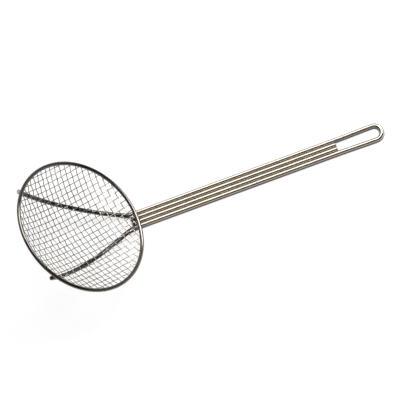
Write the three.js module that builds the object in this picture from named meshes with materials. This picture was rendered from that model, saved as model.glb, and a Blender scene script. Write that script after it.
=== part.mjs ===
import * as THREE from 'three';

// Mesh skimmer: a dished, woven wire mesh in a round rim, on a handle of four rods with a hanging loop.
// Millimetres, +Z up. The skimmer lies on its handle rods, and the rim tilts up away from the handle.
// The origin is under the middle of its outline, on the surface that it lies on. +X runs to the loop.

// Driving dimensions, in millimetres and degrees
const rimRadius = 75.5; // to the middle of the rim wire
const rimWire = 4.2; // thickness of the rim wire
const rod = 4.7; // thickness of the handle rods and the ribs
const handleRise = 34.6; // angle between the handle and the rim's plane
const innerReach = 229; // from the rim's seat to the inner rods' ends at the loop
const innerInset = 6.5; // how far the inner rods reach in under the mesh
const loopReach = 283; // from the rim's seat to the outside of the loop
const loopRadius = 8.1; // to the middle of the loop's bend
const bendInset = 9; // how far in under the mesh the outer rods bend into their ribs
const bendReach = 8; // length of that bend, each way
const ribSpread = 51.8; // from the middle of the bowl to each rib's far end
const ribBow = 5.3; // how far each rib bows out between its ends
const stubPast = -0.5; // how far the ribs run past the middle of the rim
const meshWire = 0.9; // thickness of the mesh wires
const meshPitch = 6.35; // between mesh wires, along the bowl's surface
const meshTurn = 14.5; // turn of the weave from the handle's line
const warpShift = 3.15; // from the middle of the bowl to the nearest warp wire
const weftShift = -1.55; // from the middle of the bowl to the nearest weft wire
const seatGap = 0.3; // clearance between pieces that lie against each other

// Facets
const rodSides = 12;
const rimSides = 10;
const rimSteps = 64;
const wireSides = 5;
const ribSteps = 14;
const bendSteps = 4;
const loopSteps = 12;

// Sizes that follow. The bowl is a cap of a sphere through the rim, and the handle runs off it straight,
// so the slope of the bowl at its rim is the handle's rise.
const rise = THREE.MathUtils.degToRad(handleRise);
const rodPitch = rod + seatGap;
const innerOffset = rodPitch / 2;
const outerOffset = innerOffset + rodPitch;
const handleHeight = rod / 2;
const bowlRadius = rimRadius / Math.sin(rise);
const bowlCentre = rimRadius / Math.tan(rise);
const ribRadius = bowlRadius + rimWire / 2 + seatGap + rod / 2;
const crimp = (meshWire + seatGap) / 2;
const meshRadius = bowlRadius + rimWire / 2 - crimp - meshWire / 2;
const shortestWire = 2 * meshPitch;

const brightSteel = new THREE.MeshStandardMaterial({ color: 0xcfc8bd, roughness: 0.18, metalness: 1 });
const rimSteel = new THREE.MeshStandardMaterial({ color: 0xc9c3ba, roughness: 0.14, metalness: 1 });
const wireSteel = new THREE.MeshStandardMaterial({ color: 0xa39a8f, roughness: 0.3, metalness: 1 });

// A wire's way: a section stands at each station, square to the way, with its first axis up.
class WireWay extends THREE.Curve {
  constructor(stations) {
    super();
    this.stations = stations;
  }

  getPointAt(share) {
    const last = this.stations.length - 1;
    return this.stations[Math.round(share * last)].at.clone();
  }

  directionFrom(index) {
    const from = THREE.MathUtils.clamp(index, 0, this.stations.length - 2);
    return new THREE.Vector3().subVectors(this.stations[from + 1].at, this.stations[from].at).normalize();
  }

  computeFrenetFrames() {
    const frames = { tangents: [], normals: [], binormals: [] };
    this.stations.forEach(({ up }, index) => {
      const tangent = this.directionFrom(index - 1).add(this.directionFrom(index)).normalize();
      const normal = up.clone().projectOnPlane(tangent).normalize();
      frames.tangents.push(tangent);
      frames.normals.push(normal);
      frames.binormals.push(new THREE.Vector3().crossVectors(tangent, normal));
    });
    return frames;
  }
}

// A round section of flat sides, one of them square to the first axis
function section(cornerRadius, sides) {
  const corners = Array.from({ length: sides }, (_, i) => {
    const angle = ((i + 0.5) * 2 * Math.PI) / sides;
    return new THREE.Vector2(cornerRadius * Math.cos(angle), cornerRadius * Math.sin(angle));
  });
  return new THREE.Shape(corners);
}

function wire(name, stations, shape, material) {
  const way = new WireWay(stations);
  const geometry = new THREE.ExtrudeGeometry(shape, { steps: stations.length - 1, extrudePath: way });
  const mesh = new THREE.Mesh(geometry, material);
  mesh.name = name;
  return mesh;
}

// The rods' flats touch each other and the surface below at the rod's own thickness
const rodSection = section(rod / 2 / Math.cos(Math.PI / rodSides), rodSides);
const wireSection = section(meshWire / 2, wireSides);

// A point at the given place over the bowl's plan, on a sphere about the bowl's centre
function onSphere(x, y, radius) {
  return new THREE.Vector3(x, y, bowlCentre - Math.sqrt(radius * radius - x * x - y * y));
}

function towardsBowlCentre(point) {
  return new THREE.Vector3(0, 0, bowlCentre).sub(point).normalize();
}

// The bowl's group tilts the rim up from the handle. The handle touches the ribs' sphere at the seat.
const seat = onSphere(ribRadius * Math.sin(rise), 0, ribRadius);
const bowl = new THREE.Group();
bowl.rotation.y = rise;
bowl.position.copy(seat).applyEuler(bowl.rotation).negate();
bowl.position.z += handleHeight;
bowl.updateMatrix();

// A rib's station at a share of its length, from its bend to its far end, on the +Y side
function ribStation(share) {
  const nearX = ribRadius * Math.sin(rise - bendInset / ribRadius);
  const reach = ribRadius * Math.sin(rise + stubPast / ribRadius);
  const farX = -Math.sqrt(reach * reach - ribSpread * ribSpread);
  const x = THREE.MathUtils.lerp(nearX, farX, share);
  const y = THREE.MathUtils.lerp(outerOffset, ribSpread, share) + 4 * ribBow * share * (1 - share);
  const point = onSphere(x, y, ribRadius);
  const up = towardsBowlCentre(point).transformDirection(bowl.matrix);
  return { at: point.applyMatrix4(bowl.matrix), up };
}

function levelStation(x, y) {
  return { at: new THREE.Vector3(x, y, handleHeight), up: new THREE.Vector3(0, 0, 1) };
}

// The bend from a rib into its outer rod
function bendStations(rib) {
  const rodStart = levelStation(bendReach - bendInset, outerOffset);
  const corner = levelStation(-bendInset, outerOffset);
  const curve = new THREE.QuadraticBezierCurve3(rib.at, corner.at, rodStart.at);
  return curve.getPoints(bendSteps).map((at, i) => {
    return { at, up: rib.up.clone().lerp(rodStart.up, i / bendSteps).normalize() };
  });
}

// Half of the frame wire, from its cut end under the rim to the top of the loop, on the +Y side
function halfFrame() {
  const ribLength = ribStation(0).at.distanceTo(ribStation(1).at);
  const bendShare = bendReach / ribLength;
  const ribShares = Array.from({ length: ribSteps }, (_, i) => 1 - ((1 - bendShare) * i) / ribSteps);
  const loopCentre = loopReach - rod / 2 - loopRadius;
  const loop = Array.from({ length: loopSteps / 2 }, (_, i) => {
    const angle = Math.PI / 2 - (i * Math.PI) / loopSteps;
    return levelStation(loopCentre + loopRadius * Math.cos(angle), loopRadius * Math.sin(angle));
  });
  return [
    ...ribShares.map(ribStation),
    ...bendStations(ribStation(bendShare)),
    levelStation(innerReach, outerOffset),
    ...loop,
  ];
}

function mirrored({ at, up }) {
  const flip = new THREE.Vector3(1, -1, 1);
  return { at: at.clone().multiply(flip), up: up.clone().multiply(flip) };
}

// One rod bent into both ribs, both outer handle rods and the hanging loop
function frameWire() {
  const half = halfFrame();
  const loopTop = levelStation(loopReach - rod / 2, 0);
  const stations = [...half, loopTop, ...half.map(mirrored).reverse()];
  return wire('frame_wire', stations, rodSection, brightSteel);
}

function innerRod(name, y) {
  return wire(name, [levelStation(-innerInset, y), levelStation(innerReach, y)], rodSection, brightSteel);
}

function rim() {
  const geometry = new THREE.TorusGeometry(rimRadius, rimWire / 2, rimSides, rimSteps);
  const mesh = new THREE.Mesh(geometry, rimSteel);
  mesh.name = 'rim';
  return mesh;
}

// Where a mesh wire lies in plan, from its distance along the bowl's surface
function laneInPlan(distance) {
  return meshRadius * Math.sin(distance / meshRadius);
}

// Half the plan length of the mesh wire that lies at the given place in plan. Its ends stop short of the rim,
// by more where the wire meets the rim at a slant.
function halfSpan(place) {
  const slant = Math.min(Math.abs(place) / rimRadius, 1);
  const endGap = rimWire / 2 + seatGap + (meshWire / 2) * slant;
  const reach = meshRadius * Math.sin(rise - endGap / bowlRadius);
  return Math.sqrt(Math.max(reach * reach - place * place, 0));
}

// The numbers of the wires in one direction that are long enough to be held by the weave
function lanes(shift) {
  const most = Math.ceil((rise * meshRadius) / meshPitch) + 1;
  const numbers = Array.from({ length: 2 * most + 1 }, (_, i) => i - most);
  return numbers.filter((n) => 2 * halfSpan(laneInPlan(shift + n * meshPitch)) > shortestWire);
}

// How far a wire rises off the mesh's middle surface, counted in crossings along it: over one, under the next
function crimpAt(crossing, phase) {
  const before = Math.floor(crossing);
  const over = (before + phase) % 2 === 0 ? 1 : -1;
  return crimp * over * (1 - 2 * (crossing - before));
}

// The stations of one wire: its two ends, and each crossing between them
function weaveStations(place, crossShift, phase, toPlan) {
  const end = halfSpan(place);
  const crossingOf = (along) => (meshRadius * Math.asin(along / meshRadius) - crossShift) / meshPitch;
  const crossings = lanes(crossShift).filter((n) => {
    return Math.abs(laneInPlan(crossShift + n * meshPitch)) < end - meshWire / 2;
  });
  return [crossingOf(-end), ...crossings, crossingOf(end)].map((crossing) => {
    const along = laneInPlan(crossShift + crossing * meshPitch);
    const at = onSphere(...toPlan(along), meshRadius);
    const up = towardsBowlCentre(at);
    return { at: at.addScaledVector(up, crimpAt(crossing, phase)), up };
  });
}

function meshWires(label, shift, crossShift, phase, toPlanAt) {
  return lanes(shift).map((n, i) => {
    const place = laneInPlan(shift + n * meshPitch);
    const stations = weaveStations(place, crossShift, n + phase, toPlanAt(place));
    return wire(`${label}_wire_${String(i + 1).padStart(2, '0')}`, stations, wireSection, wireSteel);
  });
}

// Plain weave: where a warp wire goes over, the weft wire that crosses it goes under
function wovenMesh() {
  const mesh = new THREE.Group();
  mesh.rotation.z = THREE.MathUtils.degToRad(meshTurn);
  mesh.add(...meshWires('warp', warpShift, weftShift, 0, (place) => (along) => [place, along]));
  mesh.add(...meshWires('weft', weftShift, warpShift, 1, (place) => (along) => [along, place]));
  return mesh;
}

const skimmer = new THREE.Group();
bowl.add(rim(), wovenMesh());
skimmer.add(bowl, frameWire());
skimmer.add(innerRod('inner_rod_left', innerOffset), innerRod('inner_rod_right', -innerOffset));

// The origin goes under the middle of the outline
skimmer.updateMatrixWorld(true);
const outline = new THREE.Box3().setFromObject(skimmer, true);
const middle = outline.getCenter(new THREE.Vector3());
skimmer.position.set(-middle.x, -middle.y, -outline.min.z);

export default skimmer;
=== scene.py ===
"""A mesh skimmer: plated wire rods, a butt-welded rim and a dished mesh of woven wires.

Everything is in metres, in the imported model's frame: +Z is up, +X runs along the handle to its hanging
loop, and the skimmer lies on its handle rods with its bowl tilted up.
"""

from __future__ import annotations

import logging
import math
from bisect import bisect_right
from collections.abc import Callable
from dataclasses import dataclass, field
from enum import Enum
from functools import partial

import bmesh
import bpy
from mathutils import Matrix, Vector


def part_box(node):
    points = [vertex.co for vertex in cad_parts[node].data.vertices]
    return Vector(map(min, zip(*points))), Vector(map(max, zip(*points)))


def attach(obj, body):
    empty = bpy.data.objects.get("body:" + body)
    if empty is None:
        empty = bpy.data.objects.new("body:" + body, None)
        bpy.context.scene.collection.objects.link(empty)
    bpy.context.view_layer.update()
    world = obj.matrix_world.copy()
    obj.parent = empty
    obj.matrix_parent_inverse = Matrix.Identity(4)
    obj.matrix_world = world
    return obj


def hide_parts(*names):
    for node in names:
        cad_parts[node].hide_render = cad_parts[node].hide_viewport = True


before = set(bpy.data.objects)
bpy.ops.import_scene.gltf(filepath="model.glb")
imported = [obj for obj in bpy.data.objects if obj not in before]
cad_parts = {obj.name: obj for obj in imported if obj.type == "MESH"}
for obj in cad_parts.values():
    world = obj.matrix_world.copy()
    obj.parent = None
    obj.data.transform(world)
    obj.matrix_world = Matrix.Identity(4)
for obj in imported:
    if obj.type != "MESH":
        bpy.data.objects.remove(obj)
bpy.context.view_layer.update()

LOG = logging.getLogger("mesh_skimmer")
MM = 0.001
BODY = "root"
STRAIGHT = "straight"  # the attribute that holds each point's place in the wire before it was bent
UP = Vector((0.0, 0.0, 1.0))

Colour = tuple[float, float, float, float]


class Side(Enum):
    """The two sides of the handle: the left one is at +Y."""

    LEFT = "left"
    RIGHT = "right"


class Lay(Enum):
    """The two directions of the weave."""

    WARP = "warp"
    WEFT = "weft"


@dataclass(frozen=True)
class Station:
    """A place on a wire's way: where its middle is, and which way its section stands up."""

    at: Vector
    up: Vector

    def mirrored(self) -> Station:
        """The same place on the other side of the handle."""
        flip = Vector((1.0, -1.0, 1.0))
        return Station(self.at * flip, self.up * flip)


class Way:
    """The way that a wire's middle takes through its stations."""

    def __init__(self, stations: list[Station], closed: bool = False) -> None:
        """Measures the way.

        Args:
            stations: The places that the wire passes, in order.
            closed: Whether the last station meets the first.
        """
        self.stations = stations
        self.distances = [0.0]
        for before, after in zip(stations, stations[1:]):
            self.distances.append(self.distances[-1] + (after.at - before.at).length)
        self.closed = closed

    @property
    def length(self) -> float:
        """The length of the whole way."""
        return self.distances[-1]

    def direction(self, index: int) -> Vector:
        """The way's direction at a station.

        Args:
            index: The station's number.

        Returns:
            The unit vector between the stations before and after it.
        """
        last = len(self.stations) - 1
        before, after = max(index - 1, 0), min(index + 1, last)
        if self.closed and index in (0, last):
            before, after = last - 1, 1
        return (self.stations[after].at - self.stations[before].at).normalized()

    def place(self, distance: float) -> Matrix:
        """The section's frame at a distance along the way.

        Args:
            distance: How far along the way, in metres.

        Returns:
            A matrix whose X axis is the section's up, and whose Z axis runs along the wire.
        """
        index = min(max(bisect_right(self.distances, distance) - 1, 0), len(self.stations) - 2)
        start, end = self.stations[index], self.stations[index + 1]
        share = (distance - self.distances[index]) / (self.distances[index + 1] - self.distances[index])
        along = self.direction(index).lerp(self.direction(index + 1), share).normalized()
        across = along.cross(start.up.lerp(end.up, share)).normalized()
        turn = Matrix((across.cross(along), across, along)).transposed().to_4x4()
        return Matrix.Translation(start.at.lerp(end.at, share)) @ turn


@dataclass
class Wire:
    """Round wire: drawn straight, cut off, and bent along its way.

    Its swell gives how much thicker it is at a distance along it.
    """

    radius: float
    sides: int
    chamfer: float = 0.0
    swell: Callable[[float], float] | None = None
    chamfer_steps: int = 3
    sharp_angle: float = math.radians(50)

    def model(self, name: str, way: Way) -> bpy.types.Object:
        """Makes one piece of the wire.

        Args:
            name: The piece's name.
            way: Where the wire's middle runs.

        Returns:
            The piece, at the origin, with its place in its mesh.
        """
        shape = bmesh.new()
        self._draw(shape, way.distances)
        self._cut(shape)
        self._bend(shape, way)
        mesh = bpy.data.meshes.new(name)
        shape.to_mesh(mesh)
        shape.free()
        mesh.shade_smooth()
        mesh.set_sharp_from_angle(angle=self.sharp_angle)
        piece = bpy.data.objects.new(name, mesh)
        bpy.context.scene.collection.objects.link(piece)
        return piece

    def _draw(self, shape: bmesh.types.BMesh, distances: list[float]) -> None:
        """Draws the straight wire along +Z.

        Args:
            shape: The empty mesh to draw it in.
            distances: Where it gets a ring, from 0 up.
        """
        bmesh.ops.create_circle(shape, cap_ends=False, segments=self.sides, radius=self.radius)
        ring = shape.edges[:]
        for before, after in zip(distances, distances[1:]):
            grown = bmesh.ops.extrude_edge_only(shape, edges=ring)["geom"]
            corners = [g for g in grown if isinstance(g, bmesh.types.BMVert)]
            bmesh.ops.translate(shape, verts=corners, vec=(0.0, 0.0, after - before))
            ring = [g for g in grown if isinstance(g, bmesh.types.BMEdge) and g.is_boundary]

    def _cut(self, shape: bmesh.types.BMesh) -> None:
        """Closes both ends. A chamfered wire's cuts have their edges broken and take the second finish.

        Args:
            shape: The straight wire.
        """
        open_edges = [edge for edge in shape.edges if edge.is_boundary]
        ends = bmesh.ops.holes_fill(shape, edges=open_edges, sides=0)["faces"]
        bmesh.ops.recalc_face_normals(shape, faces=shape.faces[:])
        if self.chamfer:
            for face in ends:
                face.material_index = 1
            bmesh.ops.bevel(
                shape,
                geom=[edge for face in ends for edge in face.edges],
                offset=self.chamfer,
                segments=self.chamfer_steps,
                profile=0.5,
                affect="EDGES",
                material=-1,
            )

    def _bend(self, shape: bmesh.types.BMesh, way: Way) -> None:
        """Takes each point of the straight wire to its place on the way, and notes where it was.

        Args:
            shape: The straight wire.
            way: Where the wire's middle runs.
        """
        straight = shape.verts.layers.float_vector.new(STRAIGHT)
        for corner in shape.verts:
            corner[straight] = corner.co
            grow = self.swell(corner.co.z) if self.swell else 1.0
            corner.co = way.place(corner.co.z) @ Vector((corner.co.x * grow, corner.co.y * grow, 0.0))


@dataclass
class Bowl:
    """The dish that the rim, the mesh and the ribs follow: a cap of a sphere, tilted up from the handle.

    Its own frame has its origin in the middle of the rim, +Z out of its mouth and +X towards the handle.
    """

    rise: float = math.radians(34.6)
    rim_wire: float = 4.2 * MM
    rod: float = 4.7 * MM
    seat_gap: float = 0.3 * MM
    rim_radius: float = field(init=False)
    to_frame: Matrix = field(init=False)

    def __post_init__(self) -> None:
        """Measures the rim's CAD node, for the ring's radius and the bowl's place in the model's frame."""
        low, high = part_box("rim")
        self.rim_radius = (high.y - low.y - self.rim_wire) / 2
        self.to_frame = Matrix.Translation((low + high) / 2) @ Matrix.Rotation(self.rise, 4, "Y")

    @property
    def radius(self) -> float:
        """The radius of the sphere through the middle of the rim's wire."""
        return self.rim_radius / math.sin(self.rise)

    @property
    def rib_radius(self) -> float:
        """The radius of the sphere that the ribs' middles lie on, under the rim."""
        return self.radius + self.rim_wire / 2 + self.seat_gap + self.rod / 2

    def station(self, x: float, y: float, radius: float, lift: float = 0.0) -> Station:
        """A place on one of the bowl's spheres.

        Args:
            x: The place over the rim's plane, towards the handle.
            y: The place over the rim's plane, to the left.
            radius: The sphere's radius.
            lift: How far the place is raised off the sphere, into the bowl.

        Returns:
            The station in the model's frame, with its up towards the sphere's centre.
        """
        centre = Vector((0.0, 0.0, self.rim_radius / math.tan(self.rise)))
        point = Vector((x, y, centre.z - math.sqrt(radius**2 - x**2 - y**2)))
        up = (centre - point).normalized()
        return Station(self.to_frame @ (point + up * lift), self.to_frame.to_3x3() @ up)

    def seat_x(self) -> float:
        """Where the handle rods touch the ribs' sphere, along the model's X."""
        return self.station(self.rib_radius * math.sin(self.rise), 0.0, self.rib_radius).at.x


class NodeBench:
    """Adds nodes to a node tree and joins them."""

    def __init__(self, tree: bpy.types.NodeTree) -> None:
        """Starts on an empty tree.

        Args:
            tree: The tree of a material or of the world.
        """
        self.tree = tree
        tree.nodes.clear()

    def add(
        self, kind: str, inputs: dict[str | int, object] | None = None, **settings: object
    ) -> bpy.types.Node:
        """Adds one node.

        Args:
            kind: The node's type, without its ShaderNode prefix.
            inputs: What goes into its sockets: a value, or another node's output socket.
            **settings: The node's own settings.

        Returns:
            The new node.
        """
        node = self.tree.nodes.new(f"ShaderNode{kind}")
        for key, value in settings.items():
            setattr(node, key, value)
        for key, value in (inputs or {}).items():
            if isinstance(value, bpy.types.NodeSocket):
                self.tree.links.new(value, node.inputs[key])
            else:
                node.inputs[key].default_value = value
        return node

    def ramp(self, factor: bpy.types.NodeSocket, low: float, high: float) -> bpy.types.NodeSocket:
        """Stretches a 0 to 1 factor to a range.

        Args:
            factor: The socket that gives the factor.
            low: The value at 0.
            high: The value at 1.

        Returns:
            The socket that gives the value.
        """
        inputs = {"Value": factor, "To Min": low, "To Max": high}
        return self.add("MapRange", inputs, clamp=False).outputs["Result"]

    def ease(self, value: bpy.types.NodeSocket, start: float, end: float) -> bpy.types.NodeSocket:
        """Goes smoothly from 0 to 1 as a value changes.

        Args:
            value: The socket that gives the value.
            start: Where the result is 0.
            end: Where the result is 1.

        Returns:
            The socket that gives the result.
        """
        inputs = {"Value": value, "From Min": start, "From Max": end}
        return self.add("MapRange", inputs, interpolation_type="SMOOTHSTEP").outputs["Result"]

    def mix(
        self,
        factor: bpy.types.NodeSocket,
        first: bpy.types.NodeSocket | Colour,
        second: bpy.types.NodeSocket | Colour,
    ) -> bpy.types.NodeSocket:
        """Mixes two colours.

        Args:
            factor: The socket that gives the second colour's share.
            first: The colour at 0.
            second: The colour at 1.

        Returns:
            The socket that gives the mixed colour.
        """
        node = self.add("Mix", {0: factor}, data_type="RGBA", clamp_factor=True)
        for socket, value in zip((node.inputs[6], node.inputs[7]), (first, second)):
            if isinstance(value, bpy.types.NodeSocket):
                self.tree.links.new(value, socket)
            else:
                socket.default_value = value
        return node.outputs[2]

    def math(self, operation: str, *values: bpy.types.NodeSocket | float) -> bpy.types.NodeSocket:
        """Works out a number.

        Args:
            operation: The Math node's operation.
            *values: The numbers, or the sockets that give them.

        Returns:
            The socket that gives the result.
        """
        return self.add("Math", dict(enumerate(values)), operation=operation).outputs[0]


@dataclass(frozen=True)
class PlatedWire:
    """Plating on drawn wire: faint lines along it, duller clouds where it has worn, and a painted dark
    reflection.

    The painted dark reflection darkens the colour towards the far side of the bowl, in place of the dark
    surroundings that the metal shows there. It starts at one given place along X, is full at a second, and
    its edge wavers with the clouds.
    """

    name: str
    bright: Colour
    dull: Colour
    # painted dark reflection: a darker colour that stands in for what the far side of the bowl reflects
    painted_dark_reflection: Colour
    smoothest: float
    roughest: float
    # where the painted dark reflection starts along X, and where it is full
    unpainted_x: float = -82.0 * MM
    fully_painted_x: float = -135.0 * MM
    waver: float = 20.0 * MM
    line_depth: float = 0.004 * MM
    line_strength: float = 0.5
    line_detail: float = 2.0
    lines_across: float = 2600.0
    lines_along: float = 40.0
    clouds: float = 70.0
    cloud_detail: float = 4.0
    cloud_spread: tuple[float, float] = (-0.4, 1.4)

    def build(self) -> bpy.types.Material:
        """Makes the material.

        Returns:
            A metal whose lines follow the wire through its bends.
        """
        material = bpy.data.materials.new(self.name)
        material.use_nodes = True
        bench = NodeBench(material.node_tree)
        place = bench.add("Attribute", attribute_name=STRAIGHT).outputs["Vector"]
        scale = (self.lines_across, self.lines_across, self.lines_along)
        drawn = bench.add("Mapping", {"Vector": place, "Scale": scale}).outputs["Vector"]
        fine = {"Vector": drawn, "Scale": 1.0, "Detail": self.line_detail}
        lines = bench.add("TexNoise", fine).outputs["Fac"]
        broad = {"Vector": place, "Scale": self.clouds, "Detail": self.cloud_detail}
        worn = bench.add("TexNoise", broad).outputs["Fac"]
        tint = bench.mix(bench.ramp(worn, *self.cloud_spread), self.bright, self.dull)
        # painted dark reflection, mixed in towards the far side of the bowl
        tint = bench.mix(self._painted_reflection_share(bench, worn), tint, self.painted_dark_reflection)
        rough = bench.ramp(worn, self.smoothest, self.roughest)
        relief = {"Height": lines, "Strength": self.line_strength, "Distance": self.line_depth}
        normal = bench.add("Bump", relief).outputs["Normal"]
        metal = {"Base Color": tint, "Metallic": 1.0, "Roughness": rough, "Normal": normal}
        shader = bench.add("BsdfPrincipled", metal)
        bench.add("OutputMaterial", {"Surface": shader.outputs["BSDF"]})
        return material

    def _painted_reflection_share(self, bench: NodeBench, worn: bpy.types.NodeSocket) -> bpy.types.NodeSocket:
        """How much of the painted dark reflection shows.

        Args:
            bench: The material's nodes.
            worn: The socket that gives the clouds.

        Returns:
            The socket that gives 0 at the handle and 1 at the far side of the bowl.
        """
        place = bench.add("TexCoord").outputs["Object"]
        x = bench.add("SeparateXYZ", {0: place}).outputs["X"]
        wavering = bench.math("ADD", x, bench.ramp(worn, -self.waver, self.waver))
        return bench.ease(wavering, self.unpainted_x, self.fully_painted_x)


def dress(piece: bpy.types.Object, node: str, slot: str, *materials: bpy.types.Material) -> None:
    """Finishes a piece and puts it in the place of its CAD node.

    Args:
        piece: The modelled piece.
        node: The CAD node that it stands for.
        slot: The record's material slot; not used.
        *materials: The finish, and that of the cut ends where they show.
    """
    for material in materials:
        piece.data.materials.append(material)
    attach(piece, BODY)
    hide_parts(node)
    LOG.info("%s: %d faces, for %s", piece.name, len(piece.data.polygons), node)


@dataclass
class Handle:
    """Four rods side by side: one long frame wire round the outside, and two straight rods inside it."""

    bowl: Bowl
    finish: PlatedWire
    cut_finish: PlatedWire
    thickness: float = 4.9 * MM
    sides: int = 28
    chamfer: float = 0.45 * MM
    outer_offset: float = 7.5 * MM
    bend_inset: float = 9.0 * MM
    bend_reach: float = 8.0 * MM
    rib_spread: float = 51.8 * MM
    rib_bow: float = 5.3 * MM
    stub_past: float = -0.5 * MM
    loop_radius: float = 8.1 * MM
    rib_steps: int = 60
    bend_steps: int = 14
    flare_steps: int = 12
    loop_steps: int = 32

    def build(self) -> None:
        """Models the three wires and dresses them."""
        finishes = self.finish.build(), self.cut_finish.build()
        wire = Wire(self.thickness / 2, self.sides, self.chamfer)
        frame_wire = wire.model("plated_frame_wire", self._frame_way())
        dress(frame_wire, "frame_wire", "bright_rod", *finishes)
        for side in Side:
            node = f"inner_rod_{side.value}"
            dress(wire.model(f"plated_{node}", self._inner_way(node)), node, "bright_rod", *finishes)

    def _inner_way(self, node: str) -> Way:
        """The straight way of an inner rod, with a ring behind each broken edge.

        Args:
            node: The rod's CAD node.

        Returns:
            The way along the middle of the node's box.
        """
        low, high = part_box(node)
        middle = (low + high) / 2
        behind = 2 * self.chamfer
        places = (low.x, low.x + behind, high.x - behind, high.x)
        return Way([Station(Vector((x, middle.y, middle.z)), UP) for x in places])

    def _level(self, x: float, y: float) -> Station:
        """A place on the handle, x from the rim's seat."""
        return Station(Vector((self.bowl.seat_x() + x, y, self.bowl.rod / 2)), UP)

    def _rib(self, share: float) -> Station:
        """A place on the left rib.

        Args:
            share: The share of the rib's length, from its bend to its cut end.

        Returns:
            The station on the ribs' sphere.
        """
        radius = self.bowl.rib_radius
        near = radius * math.sin(self.bowl.rise - self.bend_inset / radius)
        reach = radius * math.sin(self.bowl.rise + self.stub_past / radius)
        far = -math.sqrt(reach**2 - self.rib_spread**2)
        bow = 4 * self.rib_bow * share * (1 - share)
        y = self.outer_offset + (self.rib_spread - self.outer_offset) * share + bow
        return self.bowl.station(near + (far - near) * share, y, radius)

    def _bend(self, rib: Station) -> list[Station]:
        """The bend from a rib into its outer rod.

        Args:
            rib: The rib's last station before the bend.

        Returns:
            The stations from there to the rod's first.
        """
        corner = self._level(-self.bend_inset, self.outer_offset)
        rod = self._level(self.bend_reach - self.bend_inset, self.outer_offset)
        stations = []
        for step in range(self.bend_steps + 1):
            share = step / self.bend_steps
            first, second = rib.at.lerp(corner.at, share), corner.at.lerp(rod.at, share)
            stations.append(Station(first.lerp(second, share), rib.up.lerp(rod.up, share)))
        return stations

    def _flare(self, start: float, end: float) -> list[Station]:
        """The stretch past the inner rods, where the outer rods spread into the loop.

        Args:
            start: Where it starts, from the rim's seat.
            end: Where the loop's bend starts.

        Returns:
            The stations up to just before the bend.
        """
        stations = []
        for step in range(self.flare_steps):
            share = step / self.flare_steps
            eased = share * share * (3 - 2 * share)
            y = self.outer_offset + (self.loop_radius - self.outer_offset) * eased
            stations.append(self._level(start + (end - start) * share, y))
        return stations

    def _loop(self, centre: float) -> list[Station]:
        """The left half of the loop's bend.

        Args:
            centre: Where the bend's centre is, from the rim's seat.

        Returns:
            The stations from the rod to just before the loop's top.
        """
        stations = []
        for step in range(self.loop_steps // 2):
            angle = math.pi / 2 - math.pi * step / self.loop_steps
            x, y = self.loop_radius * math.cos(angle), self.loop_radius * math.sin(angle)
            stations.append(self._level(centre + x, y))
        return stations

    def _frame_way(self) -> Way:
        """The frame wire's whole way: rib, bend, rod, loop, and back on the other side."""
        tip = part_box("frame_wire")[1].x - self.bowl.seat_x() - self.bowl.rod / 2
        inner_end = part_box("inner_rod_left")[1].x - self.bowl.seat_x()
        bend_share = self.bend_reach / (self._rib(1.0).at - self._rib(0.0).at).length
        shares = [1 - (1 - bend_share) * step / self.rib_steps for step in range(self.rib_steps)]
        half = [self._rib(share) for share in shares] + self._bend(self._rib(bend_share))
        half += self._flare(inner_end, tip - self.loop_radius) + self._loop(tip - self.loop_radius)
        back = [station.mirrored() for station in reversed(half)]
        return Way(half + [self._level(tip, 0.0)] + back)


@dataclass
class Rim:
    """The ring round the bowl's mouth: one wire, bent round and butt-welded.

    The weld's bead swells the wire, and has closer stations for some of its widths each way.
    """

    bowl: Bowl
    finish: PlatedWire
    sides: int = 24
    steps: int = 220
    seam_angle: float = math.radians(-90)
    bead: float = 0.07
    bead_width: float = 0.9 * MM
    bead_widths: float = 3.0
    bead_steps: int = 8

    def build(self) -> None:
        """Models the ring and dresses it."""
        way = self._way()
        swell = partial(self._swell, length=way.length)
        wire = Wire(self.bowl.rim_wire / 2, self.sides, swell=swell)
        dress(wire.model("plated_rim", way), "rim", "rim_wire", self.finish.build())

    def _way(self) -> Way:
        """Round the rim from its seam, with closer stations by the weld's bead."""
        bead_turn = self.bead_widths * self.bead_width / self.bowl.rim_radius
        near = [bead_turn * step / self.bead_steps for step in range(self.bead_steps)]
        first, last = near[-1], math.tau - near[-1]
        middle = [first + (last - first) * step / self.steps for step in range(1, self.steps)]
        turns = near + middle + [math.tau - turn for turn in reversed(near)]
        stations = []
        for turn in turns:
            angle = self.seam_angle + turn
            point = self.bowl.rim_radius * Vector((math.cos(angle), math.sin(angle), 0.0))
            up = self.bowl.to_frame.to_3x3() @ UP
            stations.append(Station(self.bowl.to_frame @ point, up))
        return Way(stations, closed=True)

    def _swell(self, distance: float, length: float) -> float:
        """How much the wire swells at the weld.

        Args:
            distance: The place along the ring, from its seam.
            length: The length of the whole ring.

        Returns:
            How many times thicker it is there.
        """
        from_seam = min(distance, length - distance)
        return 1 + self.bead * math.exp(-((from_seam / self.bead_width) ** 2))


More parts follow.
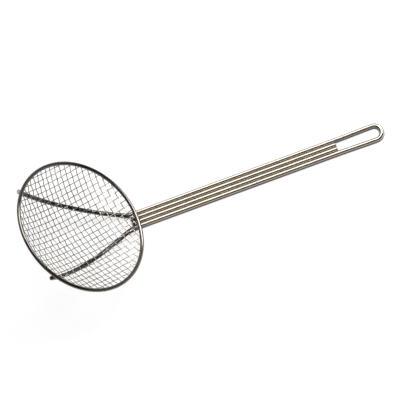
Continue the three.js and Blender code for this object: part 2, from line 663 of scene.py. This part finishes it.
@dataclass
class WovenMesh:
    """A dished plain weave of crimped wires, each one over and under the wires that cross it."""

    bowl: Bowl
    finish: PlatedWire
    wire: float = 0.92 * MM
    crimp: float = 0.58 * MM
    crispness: float = 0.97
    pitch: float = 6.35 * MM
    turn: float = math.radians(14.5)
    cad_crimp: float = 0.6 * MM
    cad_wire: float = 0.9 * MM
    end_in_rim: float = 1.2 * MM
    sides: int = 8
    rings_per_crossing: int = 10
    shifts: dict[Lay, float] = field(
        default_factory=lambda: {Lay.WARP: 3.15 * MM, Lay.WEFT: -1.55 * MM}
    )

    @property
    def radius(self) -> float:
        """The radius of the sphere that is the mesh's middle surface."""
        return self.bowl.radius + self.bowl.rim_wire / 2 - self.cad_crimp - self.cad_wire / 2

    def build(self) -> None:
        """Models every wire of both directions and dresses it."""
        material = self.finish.build()
        wire = Wire(self.wire / 2, self.sides)
        for lay in Lay:
            for number, lane in enumerate(self._lanes(lay), start=1):
                node = f"{lay.value}_wire_{number:02d}"
                piece = wire.model(f"woven_{lay.value}_{number:02d}", self._wire_way(lay, lane))
                dress(piece, node, "mesh_wire", material)

    def _in_plan(self, distance: float) -> float:
        """Where a distance along the mesh's surface lies over the rim's plane."""
        return self.radius * math.sin(distance / self.radius)

    def _half_span(self, place: float, gap: float) -> float:
        """Half the length over the rim's plane of a wire.

        Args:
            place: Where the wire lies, from the middle.
            gap: How far short of the middle of the rim's wire it ends.

        Returns:
            The half length, or 0 where no wire fits.
        """
        reach = self.radius * math.sin(self.bowl.rise - gap / self.bowl.radius)
        return math.sqrt(max(reach**2 - place**2, 0.0))

    def _lanes(self, lay: Lay) -> range:
        """The numbers of the wires in one direction, counted from the middle, as many as the CAD has."""
        count = sum(1 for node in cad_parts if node.startswith(f"{lay.value}_wire_"))
        first = math.ceil(-count / 2 - self.shifts[lay] / self.pitch)
        return range(first, first + count)

    def _wire_way(self, lay: Lay, lane: int) -> Way:
        """The way of one wire over and under its crossings.

        Args:
            lay: The wire's direction.
            lane: Its number, counted from the middle.

        Returns:
            The way, from rim to rim.
        """
        other = Lay.WEFT if lay is Lay.WARP else Lay.WARP
        place = self._in_plan(self.shifts[lay] + lane * self.pitch)
        end = self.radius * math.asin(self._half_span(place, self.end_in_rim) / self.radius)
        count = max(round(2 * end / self.pitch * self.rings_per_crossing), 2)
        stations = []
        for step in range(count + 1):
            distance = -end + 2 * end * step / count
            crossing = (distance - self.shifts[other]) / self.pitch
            lift = self._crimp_at(crossing + lane + (lay is Lay.WEFT))
            stations.append(self._on_mesh(lay, place, self._in_plan(distance), lift))
        return Way(stations)

    def _crimp_at(self, crossing: float) -> float:
        """How far a wire rises off the mesh's middle surface: nearly straight between tight bends.

        Args:
            crossing: The place along the wire, counted in crossings. It goes over the even ones.

        Returns:
            The rise into the bowl, in metres.
        """
        wave = math.cos(math.pi * crossing)
        return self.crimp * math.asin(self.crispness * wave) / math.asin(self.crispness)

    def _on_mesh(self, lay: Lay, place: float, along: float, lift: float) -> Station:
        """A station on the mesh, turned with the weave.

        Args:
            lay: The wire's direction.
            place: Where the wire lies over the rim's plane, from the middle.
            along: The place along it, over the rim's plane.
            lift: How far it is raised off the mesh's middle surface.

        Returns:
            The station in the model's frame.
        """
        x, y = (place, along) if lay is Lay.WARP else (along, place)
        cos, sin = math.cos(self.turn), math.sin(self.turn)
        return self.bowl.station(x * cos - y * sin, x * sin + y * cos, self.radius, lift)


@dataclass(frozen=True)
class Panel:
    """A panel of the room's ceiling: its colour, and its edges as degrees from overhead."""

    colour: Colour
    x: tuple[float, float]
    y: tuple[float, float]
    soft: float = 0.15

    def cover(self, bench: NodeBench, plan: tuple[bpy.types.NodeSocket, ...]) -> bpy.types.NodeSocket:
        """How much of the panel is seen in each direction.

        Args:
            bench: The world's nodes.
            plan: The sockets that give where a direction meets a ceiling at height 1.

        Returns:
            The socket that gives 1 on the panel and 0 off it, with soft edges.
        """
        share: bpy.types.NodeSocket | float = 1.0
        for place, (low, high) in zip(plan, (self.x, self.y)):
            for edge, sign in ((low, 1), (high, -1)):
                middle = math.tan(math.radians(edge))
                inside = bench.ease(place, middle - sign * self.soft, middle + sign * self.soft)
                share = bench.math("MULTIPLY", inside, share)
        return share


@dataclass(frozen=True)
class SoftBox:
    """A lamp that hangs level: its lowest and highest corner in plan, and how brightly it glows."""

    name: str
    low: tuple[float, float]
    high: tuple[float, float]
    glow: float

    def hang(self, height: float) -> None:
        """Hangs the lamp.

        Args:
            height: How high it hangs over the floor.
        """
        low, high = Vector(self.low), Vector(self.high)
        data = bpy.data.lights.new(self.name, "AREA")
        data.shape = "RECTANGLE"
        data.size, data.size_y = high.x - low.x, high.y - low.y
        data.energy = self.glow * math.pi * data.size * data.size_y
        lamp = bpy.data.objects.new(self.name, data)
        lamp.location = (*((low + high) / 2), height)
        lamp.visible_camera = False
        bpy.context.scene.collection.objects.link(lamp)


@dataclass
class Studio:
    """A pale floor, two soft boxes in a dim room, and a long lens.

    The floor's glow is what the eye and the metal see of it, apart from the light that falls on it. A
    painted shadow darkens the glow beside a piece, on the side away from the lamps: within floor_shade to
    the eye, and within metal_shade in the metal, where it is a painted dark reflection.
    """

    azimuth: float = math.radians(-10.35)
    elevation: float = math.radians(72.83)
    roll: float = math.radians(-10.23)
    target: Vector = field(default_factory=lambda: Vector((-10.42, -18.56, 51.55)) * MM)
    view_width: float = 429.34 * MM
    lens: float = 1000.0
    sensor: float = 36.0
    floor_size: float = 60.0
    floor_drop: float = 0.15 * MM
    floor_glow: float = 0.83
    # how far the painted shadow in the floor's glow reaches: to the eye, and in the metal's reflections
    floor_shade: float = 1.9 * MM
    metal_shade: float = 14.0 * MM
    shade_depth: float = 3.0
    to_lamps: tuple[float, float, float] = (0.25, 0.66, 0.71)
    floor_colour: Colour = (0.3, 0.3, 0.313, 1.0)
    ceiling: float = 1.5
    lamps: tuple[SoftBox, ...] = (
        SoftBox("long_soft_box", (0.7, 0.21), (1.8, 1.17), 8.6),
        SoftBox("short_soft_box", (-0.37, 0.3), (0.7, 1.1), 4.0),
    )
    room_colour: Colour = (0.02, 0.019, 0.018, 1.0)
    horizon_colour: Colour = (1.0, 0.98, 0.94, 1.0)
    horizon_top: float = 0.08
    horizon_full: float = 0.02
    panels: tuple[Panel, ...] = (
        # The right-hand wall, high and low
        Panel((0.3, 0.25, 0.195, 1.0), (-60.0, 8.0), (-64.0, -37.0)),
        Panel((0.55, 0.47, 0.37, 1.0), (-60.0, 12.0), (-84.0, -64.0)),
        # The walls past the bowl and past the loop
        Panel((0.08, 0.08, 0.08, 1.0), (-88.0, -45.0), (-60.0, 70.0)),
        Panel((0.2, 0.2, 0.19, 1.0), (58.0, 88.0), (-70.0, 40.0)),
        # The left-hand wall, from the loop's corner to the bowl's
        Panel((0.55, 0.53, 0.5, 1.0), (51.0, 86.0), (42.0, 72.0)),
        Panel((0.95, 0.79, 0.63, 1.0), (-45.0, 22.0), (54.0, 84.0)),
        Panel((0.9, 0.84, 0.76, 1.0), (-66.0, -38.0), (34.0, 60.0)),
        # A strip across the room that the handle's rods reflect: overhead, to the right and to the left
        Panel((0.34, 0.295, 0.235, 1.0), (-8.0, 14.0), (-30.0, 6.0)),
        Panel((0.15, 0.13, 0.105, 1.0), (-8.0, 14.0), (-86.0, -30.0)),
        Panel((1.05, 0.9, 0.74, 1.0), (-8.0, 14.0), (36.0, 84.0)),
    )

    def build(self) -> None:
        """Sets the camera, the floor, the lamps and the room."""
        self._camera()
        self._floor()
        for lamp in self.lamps:
            lamp.hang(self.ceiling)
        self._room()
        bpy.context.scene.view_settings.view_transform = "Standard"

    def _camera(self) -> None:
        """Puts the camera at the photograph's angle."""
        ahead, level = self.azimuth, self.elevation
        back = Vector((
            math.sin(ahead) * math.cos(level),
            -math.cos(ahead) * math.cos(level),
            math.sin(level),
        ))
        flat = Vector((math.cos(ahead), math.sin(ahead), 0.0))
        right = flat * math.cos(self.roll) + back.cross(flat) * math.sin(self.roll)
        turn = Matrix((right, back.cross(right), back)).transposed().to_4x4()
        data = bpy.data.cameras.new("camera")
        data.lens, data.sensor_width = self.lens, self.sensor
        distance = self.view_width * self.lens / self.sensor
        data.clip_end = 4 * distance
        camera = bpy.data.objects.new("camera", data)
        camera.matrix_world = Matrix.Translation(self.target + back * distance) @ turn
        bpy.context.scene.collection.objects.link(camera)
        bpy.context.scene.camera = camera

    def _floor(self) -> None:
        """Lays the pale floor just under the skimmer."""
        shape = bmesh.new()
        bmesh.ops.create_grid(shape, x_segments=1, y_segments=1, size=self.floor_size / 2)
        bmesh.ops.translate(shape, verts=shape.verts[:], vec=(0.0, 0.0, -self.floor_drop))
        mesh = bpy.data.meshes.new("floor")
        shape.to_mesh(mesh)
        shape.free()
        floor = bpy.data.objects.new("floor", mesh)
        bpy.context.scene.collection.objects.link(floor)
        mesh.materials.append(self._floor_material())

    def _floor_material(self) -> bpy.types.Material:
        """White paper: it takes the lamps' shadows, and glows to the eye and in the metal, with a painted
        shadow in its glow.
        """
        material = bpy.data.materials.new("white_paper")
        material.use_nodes = True
        bench = NodeBench(material.node_tree)
        path = bench.add("LightPath").outputs
        seen = bench.math("MAXIMUM", path["Is Camera Ray"], path["Is Glossy Ray"])
        seen = bench.math("MAXIMUM", seen, path["Is Transmission Ray"])
        side = bench.add("CombineXYZ", dict(enumerate(self.to_lamps))).outputs["Vector"]
        # painted shadow: ambient occlusion towards the lamps darkens the glow, over a wider reach in the
        # metal's reflections
        reach = bench.ramp(path["Is Glossy Ray"], self.floor_shade, self.metal_shade)
        clear = bench.add("AmbientOcclusion", {"Distance": reach, "Normal": side}).outputs["AO"]
        clear = bench.math("POWER", clear, self.shade_depth)
        strength = bench.math("MULTIPLY", bench.ramp(seen, 0.0, self.floor_glow), clear)
        glow = bench.add("Emission", {"Strength": strength})
        paper = bench.add("BsdfDiffuse", {"Color": self.floor_colour})
        both = bench.add("AddShader", {0: paper.outputs["BSDF"], 1: glow.outputs["Emission"]})
        bench.add("OutputMaterial", {"Surface": both.outputs["Shader"]})
        return material

    def _room(self) -> None:
        """Makes the dim room round the floor, as panels of its ceiling."""
        world = bpy.data.worlds.new("studio_room")
        bpy.context.scene.world = world
        world.use_nodes = True
        bench = NodeBench(world.node_tree)
        way = bench.add("TexCoord").outputs["Generated"]
        x, y, z = bench.add("SeparateXYZ", {0: way}).outputs
        height = bench.math("MAXIMUM", z, self.horizon_full)
        plan = bench.math("DIVIDE", x, height), bench.math("DIVIDE", y, height)
        colour = self.room_colour
        for panel in self.panels:
            colour = bench.mix(panel.cover(bench, plan), colour, panel.colour)
        low = bench.ease(z, self.horizon_top, self.horizon_full)
        colour = bench.mix(low, colour, self.horizon_colour)
        back = bench.add("Background", {"Color": colour, "Strength": 1.0})
        bench.add("OutputWorld", {"Surface": back.outputs["Background"]})


def main() -> None:
    """Builds the studio and the skimmer, piece by piece."""
    logging.basicConfig(level=logging.INFO, format="%(name)s: %(message)s")
    Studio().build()
    bowl = Bowl()
    # Each finish's darkest colour is painted dark reflection towards the far side of the bowl; on the ribs
    # it is nearly black.
    rods = PlatedWire(
        "plated_rod",
        bright=(0.6, 0.57, 0.52, 1.0),
        dull=(0.52, 0.49, 0.44, 1.0),
        painted_dark_reflection=(0.08, 0.075, 0.07, 1.0),
        smoothest=0.1,
        roughest=0.22,
        unpainted_x=-70.0 * MM,
        fully_painted_x=-90.0 * MM,
    )
    cuts = PlatedWire(
        "cut_end",
        bright=(0.62, 0.58, 0.52, 1.0),
        dull=(0.5, 0.46, 0.4, 1.0),
        painted_dark_reflection=(0.56, 0.52, 0.46, 1.0),
        smoothest=0.08,
        roughest=0.16,
    )
    ring = PlatedWire(
        "plated_ring",
        bright=(0.25, 0.238, 0.218, 1.0),
        dull=(0.205, 0.193, 0.174, 1.0),
        painted_dark_reflection=(0.155, 0.148, 0.132, 1.0),
        smoothest=0.05,
        roughest=0.14,
    )
    mesh = PlatedWire(
        "mesh_wire",
        bright=(0.82, 0.77, 0.7, 1.0),
        dull=(0.72, 0.67, 0.6, 1.0),
        painted_dark_reflection=(0.35, 0.326, 0.292, 1.0),
        smoothest=0.06,
        roughest=0.16,
    )
    Handle(bowl, rods, cuts).build()
    Rim(bowl, ring).build()
    WovenMesh(bowl, mesh).build()


if __name__ == "__main__":
    main()
